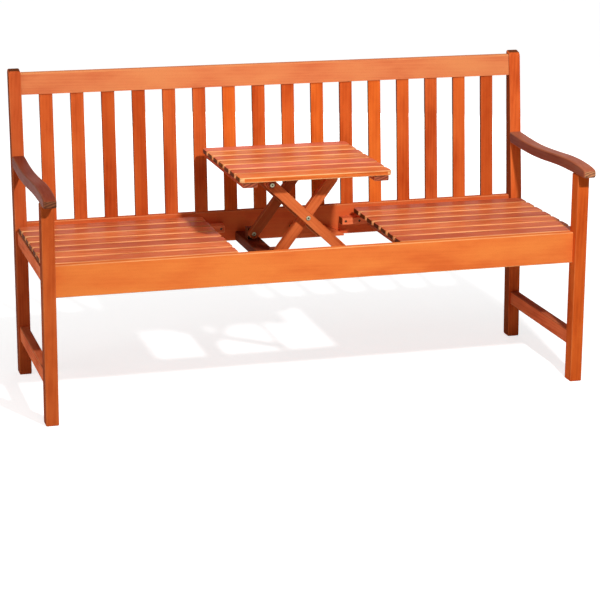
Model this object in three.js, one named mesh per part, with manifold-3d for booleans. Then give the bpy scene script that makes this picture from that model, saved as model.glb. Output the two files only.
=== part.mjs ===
// Slatted three-seat hardwood garden bench with a centre table on folding scissor legs.
// Millimetres, +Z up. X runs along the bench, Y from front to back. The table stands raised.
import * as THREE from 'three';
import { mergeVertices } from 'three/addons/utils/BufferGeometryUtils.js';
import Module from 'manifold-3d';

const wasm = await Module();
wasm.setup();

// Whole bench
const benchWidth = 1500;
const seatHeight = 424;
const arris = 2.5;
const fitGap = 0.3;
const overrun = 2;

// Front legs. Y = 0 is their front face while the bench is laid out.
const legWidth = 34;
const frontLegDepth = 40;
const frontLegHeight = 587;
const footChamfer = 4;

// Rear posts, sawn with a bend above the seat
const postFootFront = 460;
const postFootDepth = 40;
const postBendHeight = 430;
const postBendSetback = 13;
const postBendDepth = 41;
const postBendReach = 36;
const postHeight = 852;
const postTopSetback = 59;
const postTopDepth = 28;
const postTopFall = 7;
const postTopRound = 9;

// Apron and rails of the seat frame
const apronThickness = 20;
const apronInset = 17;
const apronHeight = 86;
const rearRailThickness = 20;
const rearRailInset = 17.2;
const rearRailHeight = 88;
const rearRailProud = 5;
const sideRailThickness = 24;
const sideRailInset = 6;
const sideRailHeight = 40;
const midRailThickness = 34;
const midRailCentre = 285;
const midRailHeight = 40;
const stretcherThickness = 24;
const stretcherHeight = 40;
const stretcherClear = 98;

// Seat slats
const slatCount = 7;
const slatWidth = 54;
const slatThickness = 14;
const slatFrontGap = 4;
const slatRearGap = 25;
const slatEndInset = 8;
const openingWidth = 448;

// Back
const topRailThickness = 20;
const topRailHeight = 60;
const topRailBelowPost = 10;
const topRailInset = 6;
const topRailRound = 5;
const backSlatCount = 16;
const backSlatWidth = 37;
const backSlatThickness = 12;

// Armrests. The shares run from the front leg's face to the rear post, and scale the thickness.
const armWidth = 35;
const armThickness = 30;
const armNoseReach = 42;
const armRound = 4;
const armStationShares = [0, 0.12, 0.25, 0.39, 0.52, 0.67, 0.82, 1];
const armTopShares = [0.92, 1.04, 1.02, 0.88, 0.77, 0.7, 0.77, 0.98];
const armUnderShares = [0, 0, 0, -0.1, -0.23, -0.29, -0.24, -0.06];
const armNoseShares = [0.2, 0.45, 0.7, 0.88, 0.97, 1];
const armNoseTopShares = [0.88, 0.83, 0.76, 0.69, 0.6, 0.49];
const armNoseUnderShares = [-0.01, -0.03, -0.04, -0.03, 0.03, 0.13];
const armNoseWidthShares = [1, 1, 1, 0.97, 0.92, 0.84];

// Table
const tableWidth = 418;
const battenWidth = 40;
const battenThickness = 14;
const battenEndInset = 8;
const battenShortfall = 4;
const pivotBlockWidth = 20;
const pivotBlockThickness = 15;

// Scissor legs: the inner pair swings on the pivot rail, the outer pair hangs from the table.
const scissorWidth = 28;
const scissorThickness = 20;
const scissorGap = 0.5;
const footPivotX = -97;
const footPivotDrop = 37;
const innerLowerLength = 129;
const innerUpperLength = 124;
const outerUpperLength = 144;
const outerLowerLength = 149;
const innerRaisedDegrees = 53;
const innerFoldedDegrees = -1.8;
const outerRaisedDegrees = 43.5;
const outerFoldedDegrees = 4;
const frontScissorClear = 58;
const rearScissorClear = 105;

// Pivots, rod and bolts
const boltDiameter = 6;
const boltHeadDiameter = 12;
const boltHeadHeight = 3;
const boltRecess = 4;
const rodDiameter = 16;
const domeShares = [[0.5, 0.9], [0.85, 0.6]];

// Pieces under the table that carry it folded and guide the rod
const pivotRailWidth = 30;
const pivotRailHeight = 39.5;
const pivotRailPlay = 1.5;
const lugHeight = 28;
const lugThickness = 25;
const ledgeHeight = 21.7;
const ledgeReach = 32;
const ledgeLap = 11;
const runnerThickness = 20;
const runnerLead = 48;
const runnerTail = 19;
const runnerFlat = 11;
const runnerToe = 4;
const runnerBow = 3;

// Colours of the oiled wood and of the plated bolts
const frameTone = 0xd6763c;
const slatTone = 0xc9642f;
const armTone = 0xa9603f;
const underTone = 0xb65a2a;
const boltTone = 0xd9c9a0;

// Fineness of round shapes
const arcSteps = 2;
const pinSides = 20;
const armSteps = 20;
const bendSteps = 6;
const postTopSteps = 3;

// Places that follow from the sizes above
const half = 0.5;
const slatUnder = seatHeight - slatThickness;
const postLean = (postTopSetback - postBendSetback) / (postHeight - postTopRound - postBendHeight);
const lowerLean = postBendSetback / postBendHeight;
const apronBack = apronInset + apronThickness;
const rearRailFront = postFrontAt(seatHeight) + rearRailInset;
const seatFrameClear = rearRailFront - apronBack;
const slatBack = rearRailFront - slatRearGap;
const slatField = slatBack - apronBack - slatFrontGap;
const legInner = benchWidth * half - legWidth;
const railTop = slatUnder - fitGap;
const rearRailTop = seatHeight + rearRailProud;
const topRailTop = postHeight - topRailBelowPost;
const topRailUnder = topRailTop - topRailHeight;
const sides = [['left', -1], ['right', 1]];
const sectionToX = new THREE.Matrix4().makeBasis(
  new THREE.Vector3(0, 1, 0),
  new THREE.Vector3(0, 0, 1),
  new THREE.Vector3(1, 0, 0),
);

// Point at a distance from another, in the plane of X and Z
function reach(from, degrees, distance) {
  const angle = THREE.MathUtils.degToRad(degrees);
  return { x: from.x + distance * Math.cos(angle), z: from.z + distance * Math.sin(angle) };
}

// Pivots of the scissor legs, raised as modelled and folded with the table flush in the seat
const straight = 180;
const footPivot = { x: footPivotX, z: seatHeight - footPivotDrop };
const centrePivot = reach(footPivot, innerRaisedDegrees, innerLowerLength);
const tablePivot = reach(centrePivot, straight - outerRaisedDegrees, outerUpperLength);
const rodCentre = reach(centrePivot, -outerRaisedDegrees, outerLowerLength);
const foldedCentre = reach(footPivot, innerFoldedDegrees, innerLowerLength);
const foldedPivot = reach(foldedCentre, straight - outerFoldedDegrees, outerUpperLength);
const foldedRod = reach(foldedCentre, -outerFoldedDegrees, outerLowerLength);

// Front and back faces of each scissor leg; in both pairs the outer leg is in front
const frontOuter = apronBack + frontScissorClear;
const frontInner = frontOuter + scissorThickness + scissorGap;
const rearInner = rearRailFront - rearScissorClear - scissorThickness;
const rearOuter = rearInner - scissorGap - scissorThickness;
const ends = [
  { name: 'front', outer: frontOuter, inner: frontInner },
  { name: 'rear', outer: rearOuter, inner: rearInner },
];
const boltHole = boltDiameter * half + fitGap;
const pivotRailRight = foldedPivot.x - scissorWidth * half - pivotRailPlay;
const pivotRailLeft = pivotRailRight - pivotRailWidth;
const battenOuter = tableWidth * half - battenEndInset;

// Front face of the rear post at height z, below or above its bend
function postFrontAt(z) {
  if (z < postBendHeight) return postFootFront + lowerLean * z;
  return postFootFront + postBendSetback + postLean * (z - postBendHeight);
}

// Depth of the rear post at height z
function postDepthAt(z) {
  const foot = Math.min(z / postBendHeight, 1);
  const top = Math.max((z - postBendHeight) / (postHeight - postBendHeight), 0);
  return postFootDepth + (postBendDepth - postFootDepth) * foot + (postTopDepth - postBendDepth) * top;
}

// Materials
function wood(tone) {
  return new THREE.MeshStandardMaterial({ color: tone, roughness: 0.55, metalness: 0 });
}

function metal(tone) {
  return new THREE.MeshStandardMaterial({ color: tone, roughness: 0.35, metalness: 0.9 });
}

function piece(name, geometry, material) {
  const mesh = new THREE.Mesh(geometry, material);
  mesh.name = name;
  return mesh;
}

// Solids for cutting and joining
function toSolid(geometry) {
  const bare = geometry.clone();
  bare.deleteAttribute('normal');
  bare.deleteAttribute('uv');
  const merged = mergeVertices(bare);
  return new wasm.Manifold(new wasm.Mesh({
    numProp: 3,
    vertProperties: new Float32Array(merged.attributes.position.array),
    triVerts: new Uint32Array(merged.index.array),
  }));
}

function toGeometry(solid) {
  const mesh = solid.getMesh();
  const geometry = new THREE.BufferGeometry();
  geometry.setAttribute('position', new THREE.BufferAttribute(mesh.vertProperties, mesh.numProp));
  geometry.setIndex(new THREE.BufferAttribute(mesh.triVerts, 1));
  return geometry;
}

function joined(geometries) {
  return toGeometry(geometries.map(toSolid).reduce((sum, next) => sum.add(next)));
}

function cut(geometry, tools) {
  return toGeometry(tools.map(toSolid).reduce((rest, tool) => rest.subtract(tool), toSolid(geometry)));
}

// Rectangle with round corners about its centre, anticlockwise, as a list of [u, v]
function roundedRing(width, height, radius) {
  const ring = [];
  const r = Math.min(radius, width * half, height * half);
  for (let corner = 0; corner < 4; corner += 1) {
    const side = corner === 0 || corner === 3 ? 1 : -1;
    const up = corner < 2 ? 1 : -1;
    const cu = side * (width * half - r);
    const cv = up * (height * half - r);
    for (let step = 0; step <= arcSteps; step += 1) {
      const angle = (corner + step / arcSteps) * Math.PI * half;
      ring.push([cu + r * Math.cos(angle), cv + r * Math.sin(angle)]);
    }
  }
  return ring;
}

function roundedShape(width, height, radius) {
  return new THREE.Shape(roundedRing(width, height, radius).map(([u, v]) => new THREE.Vector2(u, v)));
}

// Closed skin through rings of equal count, anticlockwise as seen from the last ring's side
function loft(rings) {
  const count = rings[0].length;
  const positions = rings.flat().flatMap((point) => [point.x, point.y, point.z]);
  const index = [];
  for (let row = 0; row < rings.length - 1; row += 1) {
    for (let i = 0; i < count; i += 1) {
      const next = (i + 1) % count;
      const a = row * count + i;
      const b = row * count + next;
      index.push(a, b, b + count, a, b + count, a + count);
    }
  }
  const last = (rings.length - 1) * count;
  for (let i = 1; i < count - 1; i += 1) {
    index.push(0, i + 1, i, last, last + i, last + i + 1);
  }
  const geometry = new THREE.BufferGeometry();
  geometry.setAttribute('position', new THREE.Float32BufferAttribute(positions, 3));
  geometry.setIndex(index);
  return geometry;
}

// Board along X with round arrises, about its centre: section Y by Z
function boardAlongX(length, depth, height, radius = arris) {
  const shape = roundedShape(depth, height, radius);
  const geometry = new THREE.ExtrudeGeometry(shape, { depth: length, bevelEnabled: false });
  return geometry.translate(0, 0, -length * half).applyMatrix4(sectionToX);
}

// Outline in X and Z, extruded from yFront to yBack
function plateAlongY(shape, yFront, yBack) {
  const settings = { depth: yBack - yFront, bevelEnabled: false, curveSegments: pinSides * half };
  const geometry = new THREE.ExtrudeGeometry(shape, settings);
  return geometry.rotateX(Math.PI * half).translate(0, yBack, 0);
}

// Block between two corners, its arrises along Y rounded
function block(low, high, radius = arris) {
  const shape = roundedShape(high.x - low.x, high.z - low.z, radius);
  const geometry = plateAlongY(shape, low.y, high.y);
  return geometry.translate((low.x + high.x) * half, 0, (low.z + high.z) * half);
}

function pinAlongY(radius, yFront, yBack, x = 0, z = 0) {
  const geometry = new THREE.CylinderGeometry(radius, radius, yBack - yFront, pinSides);
  return geometry.translate(x, (yFront + yBack) * half, z);
}

// Front legs, with a chamfered foot
function frontLegs(group) {
  const slim = roundedRing(legWidth - footChamfer, frontLegDepth - footChamfer, arris);
  const full = roundedRing(legWidth, frontLegDepth, arris);
  const at = (ring, z) => ring.map(([u, v]) => new THREE.Vector3(u, v, z));
  const rings = [at(slim, 0), at(full, footChamfer), at(full, frontLegHeight)];
  for (const [name, side] of sides) {
    const leg = piece(`front_leg_${name}`, loft(rings), wood(frameTone));
    leg.position.set(side * (benchWidth - legWidth) * half, frontLegDepth * half, 0);
    group.add(leg);
  }
}

// Heights where the rear post gets a section: foot, bend and rounded top
function postStations() {
  const stations = [];
  stations.push({ z: 0, inset: footChamfer });
  stations.push({ z: footChamfer, inset: 0 });
  for (let step = 0; step <= bendSteps; step += 1) {
    const z = postBendHeight + postBendReach * (step * 2 / bendSteps - 1);
    stations.push({ z, inset: 0 });
  }
  for (let step = 0; step <= postTopSteps; step += 1) {
    const angle = step / postTopSteps * Math.PI * half;
    const z = postHeight - postTopRound * (1 - Math.sin(angle));
    stations.push({ z, inset: postTopRound * (1 - Math.cos(angle)) });
  }
  return stations;
}

// Front face of the post with its bend eased over the reach on both sides
function easedFrontAt(z) {
  const t = (z - postBendHeight + postBendReach) / (postBendReach * 2);
  if (t <= 0 || t >= 1) return postFrontAt(z);
  return postFrontAt(postBendHeight - postBendReach)
    + postBendReach * (lowerLean * (2 * t - t * t) + postLean * t * t);
}

function rearPosts(group) {
  const rings = postStations().map(({ z, inset }) => {
    const depth = postDepthAt(z);
    const middle = easedFrontAt(z) + depth * half;
    const fall = z > postBendHeight + postBendReach ? postTopFall / postTopDepth : 0;
    const across = depth - inset;
    const ring = roundedRing(legWidth - inset * half, across, arris);
    return ring.map(([u, v]) => new THREE.Vector3(u, middle + v, z + fall * (v - across * half)));
  });
  for (const [name, side] of sides) {
    const post = piece(`rear_post_${name}`, loft(rings), wood(frameTone));
    post.position.x = side * (benchWidth - legWidth) * half;
    group.add(post);
  }
}

// Height of the armrest's top or underside above the leg, as a smooth function of y
function armCurve(shares, armLength) {
  const stations = armStationShares.map((share) => share * armLength);
  const heights = shares.map((share) => share * armThickness);
  const curve = new THREE.CubicInterpolant(stations, heights, 1, new Float32Array(1));
  return (y) => curve.evaluate(y)[0];
}

// One section of the armrest, its centre at x = 0
function armSection(under, top, width, depthAt) {
  return roundedRing(top - under, width, armRound).map(([w, u]) => {
    const z = frontLegHeight + fitGap + (top + under) * half + w;
    return new THREE.Vector3(u, depthAt(z), z);
  });
}

// Armrests: waved boards, flat over the leg, with a blunt rounded nose
function armrests(group) {
  const armLength = postFrontAt(frontLegHeight) - fitGap;
  const topAt = armCurve(armTopShares, armLength);
  const underAt = armCurve(armUnderShares, armLength);
  const rings = armNoseShares.map((share, i) => armSection(
    armNoseUnderShares[i] * armThickness,
    armNoseTopShares[i] * armThickness,
    armNoseWidthShares[i] * armWidth,
    () => -share * armNoseReach,
  )).reverse();
  for (const y of [0, frontLegDepth]) {
    rings.push(armSection(0, topAt(y), armWidth, () => y));
  }
  for (let step = 1; step <= armSteps; step += 1) {
    const y = frontLegDepth + (armLength - frontLegDepth) * step / armSteps;
    const atPost = step === armSteps;
    rings.push(armSection(underAt(y), topAt(y), armWidth, (z) => (atPost ? postFrontAt(z) - fitGap : y)));
  }
  for (const [name, side] of sides) {
    const arm = piece(`armrest_${name}`, loft(rings), wood(armTone));
    arm.position.x = side * (benchWidth - armWidth) * half;
    group.add(arm);
  }
}

// Bar from the front leg's back to the rear post's front, its end cut to the post's lean
function sideBar(thickness, height, centreZ) {
  const section = roundedRing(height, thickness, arris);
  const front = section.map(([w, u]) => new THREE.Vector3(u, frontLegDepth + fitGap, centreZ + w));
  const rear = section.map(([w, u]) => new THREE.Vector3(u, postFrontAt(centreZ + w) - fitGap, centreZ + w));
  return loft([front, rear]);
}

// Side rails under the seat and stretchers near the floor
function sideBars(group) {
  for (const [name, side] of sides) {
    const rail = piece(
      `side_rail_${name}`,
      sideBar(sideRailThickness, sideRailHeight, railTop - sideRailHeight * half),
      wood(underTone),
    );
    rail.position.x = side * (benchWidth * half - sideRailInset - sideRailThickness * half);
    group.add(rail);
    const stretcher = piece(
      `stretcher_${name}`,
      sideBar(stretcherThickness, stretcherHeight, stretcherClear + stretcherHeight * half),
      wood(frameTone),
    );
    stretcher.position.x = side * (benchWidth - legWidth) * half;
    group.add(stretcher);
  }
}

// Apron in front and rail behind, both between the legs
function longRails(group) {
  const length = (legInner - fitGap) * 2;
  const apron = piece('apron', boardAlongX(length, apronThickness, apronHeight), wood(frameTone));
  apron.position.set(0, apronInset + apronThickness * half, seatHeight - apronHeight * half);
  const board = boardAlongX(length, rearRailThickness, rearRailHeight);
  const rear = piece('rear_seat_rail', board, wood(frameTone));
  rear.position.set(0, rearRailFront + rearRailThickness * half, rearRailTop - rearRailHeight * half);
  group.add(apron, rear);
}

// Top rail: level underside and top, its faces leaning as the posts do
function topRail(group) {
  const frontAt = (z) => postFrontAt(z) + topRailInset;
  const round = topRailRound;
  const shape = new THREE.Shape();
  shape.moveTo(frontAt(topRailUnder), topRailUnder);
  shape.lineTo(frontAt(topRailUnder) + topRailThickness, topRailUnder);
  shape.lineTo(frontAt(topRailTop - round) + topRailThickness, topRailTop - round);
  shape.quadraticCurveTo(
    frontAt(topRailTop) + topRailThickness,
    topRailTop,
    frontAt(topRailTop) + topRailThickness - round,
    topRailTop,
  );
  shape.lineTo(frontAt(topRailTop) + round, topRailTop);
  shape.quadraticCurveTo(frontAt(topRailTop), topRailTop, frontAt(topRailTop - round), topRailTop - round);
  const length = (legInner - fitGap) * 2;
  const settings = { depth: length, bevelEnabled: false, curveSegments: arcSteps + 1 };
  const geometry = new THREE.ExtrudeGeometry(shape, settings);
  const rail = piece('top_rail', geometry.applyMatrix4(sectionToX), wood(frameTone));
  rail.position.x = -length * half;
  group.add(rail);
}

// Upright slats from the rear seat rail to the top rail, evenly spaced between the posts
function backSlats(group) {
  const gap = (legInner * 2 - backSlatCount * backSlatWidth) / (backSlatCount + 1);
  const section = roundedRing(backSlatWidth, backSlatThickness, arris);
  const footY = rearRailFront + rearRailThickness * half;
  const headY = postFrontAt(topRailUnder) + topRailInset + topRailThickness * half;
  const foot = section.map(([u, v]) => new THREE.Vector3(u, footY + v, rearRailTop + fitGap));
  const head = section.map(([u, v]) => new THREE.Vector3(u, headY + v, topRailUnder - fitGap));
  for (let i = 0; i < backSlatCount; i += 1) {
    const slat = piece(`back_slat_${i + 1}`, loft([foot, head]), wood(slatTone));
    slat.position.x = -legInner + gap + backSlatWidth * half + i * (backSlatWidth + gap);
    group.add(slat);
  }
}

// Centre of seat or table slat number i, measured from the front legs' face
function slatCentre(i) {
  const pitch = (slatField - slatWidth) / (slatCount - 1);
  return apronBack + slatFrontGap + slatWidth * half + i * pitch;
}

// Each seat half: seven slats screwed to the rail that carries their inner ends, one piece
function seatPanels(group) {
  const inner = openingWidth * half;
  const outer = benchWidth * half - slatEndInset;
  const slatMiddle = slatUnder + slatThickness * half;
  for (const [name, side] of sides) {
    const slats = [];
    for (let i = 0; i < slatCount; i += 1) {
      const slat = boardAlongX(outer - inner, slatWidth, slatThickness);
      slats.push(slat.translate(side * (inner + outer) * half, slatCentre(i), slatMiddle));
    }
    const low = new THREE.Vector3(-midRailThickness * half, apronBack + fitGap, railTop - midRailHeight);
    const high = new THREE.Vector3(midRailThickness * half, rearRailFront - fitGap, slatUnder + arris);
    const rail = block(low, high).translate(side * midRailCentre, 0, 0);
    group.add(piece(`seat_panel_${name}`, joined([...slats, rail]), wood(slatTone)));
  }
}

// Rail that carries the inner legs' feet, with a drilled lug behind each of them
function pivotRail(group) {
  const top = slatUnder - scissorGap;
  const low = new THREE.Vector3(pivotRailLeft, apronBack + fitGap, top - pivotRailHeight);
  const high = new THREE.Vector3(pivotRailRight, rearRailFront - fitGap, top);
  const solids = [block(low, high)];
  const holes = [];
  for (const end of ends) {
    const front = end.inner + scissorThickness + scissorGap;
    const back = front + lugThickness;
    const root = pivotRailRight - pivotRailWidth * half;
    const lugLow = new THREE.Vector3(root, front, footPivot.z - lugHeight * half);
    const lugHigh = new THREE.Vector3(footPivot.x + lugHeight * half, back, footPivot.z + lugHeight * half);
    solids.push(block(lugLow, lugHigh));
    holes.push(pinAlongY(boltHole, front - overrun, back + overrun, footPivot.x, footPivot.z));
  }
  group.add(piece('pivot_rail', cut(joined(solids), holes), wood(underTone)));
}

// Blocks that the lowered table rests on, screwed to the long rails beside the opening
function ledgeBlocks(group) {
  const midRailFace = midRailCentre - midRailThickness * half - fitGap;
  const top = slatUnder - battenThickness - fitGap;
  const spans = {
    left: [-midRailFace, pivotRailLeft - fitGap],
    right: [battenOuter - ledgeLap, midRailFace],
  };
  const depths = {
    front: [apronBack + fitGap, apronBack + ledgeReach],
    rear: [rearRailFront - ledgeReach, rearRailFront - fitGap],
  };
  for (const [end, [front, back]] of Object.entries(depths)) {
    for (const [name, [left, right]] of Object.entries(spans)) {
      const low = new THREE.Vector3(left, front, top - ledgeHeight);
      const high = new THREE.Vector3(right, back, top);
      group.add(piece(`ledge_block_${end}_${name}`, block(low, high), wood(underTone)));
    }
  }
}

// Runner cleats on the insides of the long rails: the rod rides on them, over a falling end
function runners(group) {
  const top = rodCentre.z - rodDiameter * half - fitGap;
  const bottom = rearRailTop - rearRailHeight;
  const start = rodCentre.x - runnerLead;
  const flatEnd = rodCentre.x + runnerFlat;
  const toe = foldedRod.x + runnerTail;
  const shape = new THREE.Shape();
  shape.moveTo(start, bottom);
  shape.lineTo(toe, bottom);
  shape.lineTo(toe, bottom + runnerToe);
  shape.quadraticCurveTo((flatEnd + toe) * half, top - runnerBow, flatEnd, top);
  shape.lineTo(start, top);
  const front = apronBack + fitGap;
  const rear = rearRailFront - fitGap;
  const frontRunner = plateAlongY(shape, front, front + runnerThickness);
  const rearRunner = plateAlongY(shape, rear - runnerThickness, rear);
  group.add(piece('runner_front', frontRunner, wood(underTone)));
  group.add(piece('runner_rear', rearRunner, wood(underTone)));
}

// Straight leg with round ends about its first and last pivots, drilled at each of its places
function scissorPlate(first, last, holes) {
  const radius = scissorWidth * half;
  const quarter = Math.PI * half;
  const shape = new THREE.Shape();
  shape.absarc(first, 0, radius, quarter, quarter * 3, false);
  shape.absarc(last, 0, radius, -quarter, quarter, false);
  for (const [place, holeRadius] of holes) {
    const hole = new THREE.Path();
    hole.absarc(place, 0, holeRadius, 0, Math.PI * 2, true);
    shape.holes.push(hole);
  }
  return plateAlongY(shape, 0, scissorThickness);
}

// Inner legs turn about the pivot rail's lugs; their foot bolts' heads lie in counterbores
function innerLegs(group) {
  const length = innerLowerLength + innerUpperLength;
  const plate = scissorPlate(0, length, [[0, boltHole], [innerLowerLength, boltHole]]);
  const recess = pinAlongY(boltHeadDiameter * half + fitGap, -overrun, boltRecess);
  const geometry = cut(plate, [recess]);
  for (const end of ends) {
    const pivot = new THREE.Group();
    pivot.position.set(footPivot.x, end.inner, footPivot.z);
    pivot.rotation.y = -THREE.MathUtils.degToRad(innerRaisedDegrees);
    pivot.add(piece(`inner_scissor_leg_${end.name}`, geometry, wood(slatTone)));
    group.add(pivot);
  }
}

// Outer legs hang from the table; the sliding rod joins their free ends
function outerLegs(group) {
  const rodHole = rodDiameter * half + fitGap;
  const holes = [[-outerUpperLength, boltHole], [0, boltHole], [outerLowerLength, rodHole]];
  const plate = scissorPlate(-outerUpperLength, outerLowerLength, holes);
  const back = scissorThickness + overrun;
  const radius = boltHeadDiameter * half + fitGap;
  const recess = pinAlongY(radius, scissorThickness - boltRecess, back, -outerUpperLength);
  const geometry = cut(plate, [recess]);
  for (const end of ends) {
    const pivot = new THREE.Group();
    pivot.position.set(centrePivot.x, end.outer, centrePivot.z);
    pivot.rotation.y = THREE.MathUtils.degToRad(outerRaisedDegrees);
    pivot.add(piece(`outer_scissor_leg_${end.name}`, geometry, wood(slatTone)));
    group.add(pivot);
  }
  const length = seatFrameClear - fitGap * 2;
  const rod = piece('sliding_rod', pinAlongY(rodDiameter * half, 0, length), metal(boltTone));
  rod.position.set(rodCentre.x, apronBack + fitGap, rodCentre.z);
  group.add(rod);
}

// Sleeve bolt along Y: domed head at the front, from y = 0 back to a flat nut
function sleeveBolt(grip, nutHeight) {
  const shank = boltDiameter * half;
  const head = boltHeadDiameter * half;
  const profile = [
    new THREE.Vector2(0, -boltHeadHeight),
    ...domeShares.map(([out, up]) => new THREE.Vector2(head * out, -boltHeadHeight * up)),
    new THREE.Vector2(head, 0),
    new THREE.Vector2(shank, 0),
    new THREE.Vector2(shank, grip),
  ];
  if (nutHeight > 0) {
    profile.push(new THREE.Vector2(head, grip));
    profile.push(new THREE.Vector2(head, grip + nutHeight));
  }
  profile.push(new THREE.Vector2(0, grip + nutHeight));
  return new THREE.LatheGeometry(profile, pinSides);
}

// Bolts: through the legs' crossing, from the inner legs' feet into the lugs, and at the table
function bolts(group) {
  const nut = boltRecess - fitGap;
  const pair = scissorThickness * 2 + scissorGap;
  const intoLug = scissorThickness - boltRecess + scissorGap + lugThickness;
  const blockToLeg = pivotBlockThickness + scissorGap + scissorThickness - boltRecess;
  for (const end of ends) {
    const blockFront = end.outer - scissorGap - pivotBlockThickness;
    const set = [
      ['centre_bolt', centrePivot, end.outer - fitGap, pair + fitGap * 2, nut],
      ['foot_bolt', footPivot, end.inner + boltRecess - fitGap, intoLug, 0],
      ['table_pivot_bolt', tablePivot, blockFront - fitGap, blockToLeg + fitGap * 2, nut - fitGap],
    ];
    for (const [name, place, y, grip, nutHeight] of set) {
      const bolt = piece(`${name}_${end.name}`, sleeveBolt(grip, nutHeight), metal(boltTone));
      bolt.position.set(place.x, y, place.z);
      group.add(bolt);
    }
  }
}

// Table, laid out as it lies flush in the seat and then lifted to where the legs hold it
function table(group) {
  const top = new THREE.Group();
  top.position.set(tablePivot.x - foldedPivot.x, 0, tablePivot.z - foldedPivot.z);
  for (let i = 0; i < slatCount; i += 1) {
    const board = boardAlongX(tableWidth, slatWidth, slatThickness);
    const slat = piece(`table_slat_${i + 1}`, board, wood(slatTone));
    slat.position.set(0, slatCentre(i), slatUnder + slatThickness * half);
    top.add(slat);
  }
  const front = apronBack + slatFrontGap + battenShortfall;
  for (const [name, side] of sides) {
    const low = new THREE.Vector3(-battenWidth * half, front, railTop - battenThickness + fitGap);
    const high = new THREE.Vector3(battenWidth * half, slatBack, railTop);
    const batten = piece(`table_batten_${name}`, block(low, high), wood(slatTone));
    batten.position.x = side * (battenOuter - battenWidth * half);
    top.add(batten);
  }
  const radius = pivotBlockWidth * half;
  const shape = new THREE.Shape();
  shape.moveTo(radius, railTop - foldedPivot.z);
  shape.lineTo(-radius, railTop - foldedPivot.z);
  shape.absarc(0, 0, radius, Math.PI, Math.PI * 2, false);
  const hole = new THREE.Path();
  hole.absarc(0, 0, boltHole, 0, Math.PI * 2, true);
  shape.holes.push(hole);
  for (const end of ends) {
    const solid = plateAlongY(shape, -pivotBlockThickness, 0);
    const hanger = piece(`pivot_block_${end.name}`, solid, wood(slatTone));
    hanger.position.set(foldedPivot.x, end.outer - scissorGap, foldedPivot.z);
    top.add(hanger);
  }
  group.add(top);
}

// The origin is under the middle of the bench, halfway from the armrests' noses to the posts' backs
const bench = new THREE.Group();
const postShoulder = postHeight - postTopRound;
const postBack = postFrontAt(postShoulder) + postDepthAt(postShoulder);
bench.position.y = -(postBack - armNoseReach) * half;
for (const build of [
  frontLegs, rearPosts, armrests, sideBars, longRails, topRail, backSlats, seatPanels,
  pivotRail, ledgeBlocks, runners, innerLegs, outerLegs, bolts, table,
]) {
  build(bench);
}

const group = new THREE.Group();
group.add(bench);
export default group;
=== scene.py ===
"""Slatted hardwood garden bench whose centre table stands raised on folding scissor legs."""
import math

import bmesh
import bpy
from mathutils import Matrix, Vector


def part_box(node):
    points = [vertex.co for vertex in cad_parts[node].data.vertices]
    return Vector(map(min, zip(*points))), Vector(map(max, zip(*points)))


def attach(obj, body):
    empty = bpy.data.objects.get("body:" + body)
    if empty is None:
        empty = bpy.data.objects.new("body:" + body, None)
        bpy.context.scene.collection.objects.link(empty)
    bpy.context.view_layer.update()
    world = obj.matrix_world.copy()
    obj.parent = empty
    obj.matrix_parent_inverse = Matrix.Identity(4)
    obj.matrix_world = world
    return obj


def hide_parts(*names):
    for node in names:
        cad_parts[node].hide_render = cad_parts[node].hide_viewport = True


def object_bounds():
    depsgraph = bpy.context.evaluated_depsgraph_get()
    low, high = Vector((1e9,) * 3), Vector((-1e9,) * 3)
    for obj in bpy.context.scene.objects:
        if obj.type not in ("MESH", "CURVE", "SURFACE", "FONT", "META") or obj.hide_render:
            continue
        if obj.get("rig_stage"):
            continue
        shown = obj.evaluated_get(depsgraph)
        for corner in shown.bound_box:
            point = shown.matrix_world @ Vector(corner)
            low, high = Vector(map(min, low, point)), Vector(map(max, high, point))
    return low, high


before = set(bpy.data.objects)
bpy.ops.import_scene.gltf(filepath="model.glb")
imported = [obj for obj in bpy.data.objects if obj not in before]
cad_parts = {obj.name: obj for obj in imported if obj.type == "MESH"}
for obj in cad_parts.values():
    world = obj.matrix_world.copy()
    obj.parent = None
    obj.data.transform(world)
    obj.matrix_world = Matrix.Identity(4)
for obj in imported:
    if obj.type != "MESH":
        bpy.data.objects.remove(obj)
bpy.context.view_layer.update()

# Studio: a pale floor and an even sky, a small lamp high at the front right, and large soft ones
# overhead, at the left and behind. The camera stands in front of the bench, to its left, and
# looks down on it a little.
WHITE = (1.0, 1.0, 1.0, 1.0)
FLOOR_SIZE = 60.0
FLOOR_COLOUR = (0.7, 0.7, 0.7, 1.0)
FLOOR_ROUGHNESS = 0.9
FLOOR_GLOSS = 0.1
FLOOR_GLOW_NEAR = 0.72
FLOOR_GLOW_FAR = 0.9
FLOOR_GLOW_FROM = 0.6
FLOOR_GLOW_TO = 2.4
SKY_FILL = 0.105
LIT_POINT = Vector((0.0, 0.0, 0.45))
# Each lamp has its place, its power and its width.
LAMPS = {
    "main_lamp": (Vector((0.42, -2.7, 2.66)), 109.0, 0.2),
    "soft_lamp": (Vector((-0.5, -0.9, 2.9)), 14.0, 1.5),
    "side_lamp": (Vector((-3.2, -0.5, 1.0)), 20.0, 2.0),
    "back_lamp": (Vector((1.2, 3.9, 0.9)), 34.0, 2.2),
}
EYE = Vector((-1.50508, -5.18385, 1.7151))
EYE_YAW = math.radians(-16.23)
EYE_TILT = math.radians(90.0 - 13.78)
EYE_ROLL = math.radians(0.35)
SENSOR_WIDTH = 36.0
LENS = 120.88
LENS_SHIFT = -0.1
SIGHT_END = 100.0


def new_finish(name):
    """A new material, with its node tree and its shader."""
    finish = bpy.data.materials.new(name)
    finish.use_nodes = True
    tree = finish.node_tree
    return finish, tree, tree.nodes["Principled BSDF"]


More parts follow.
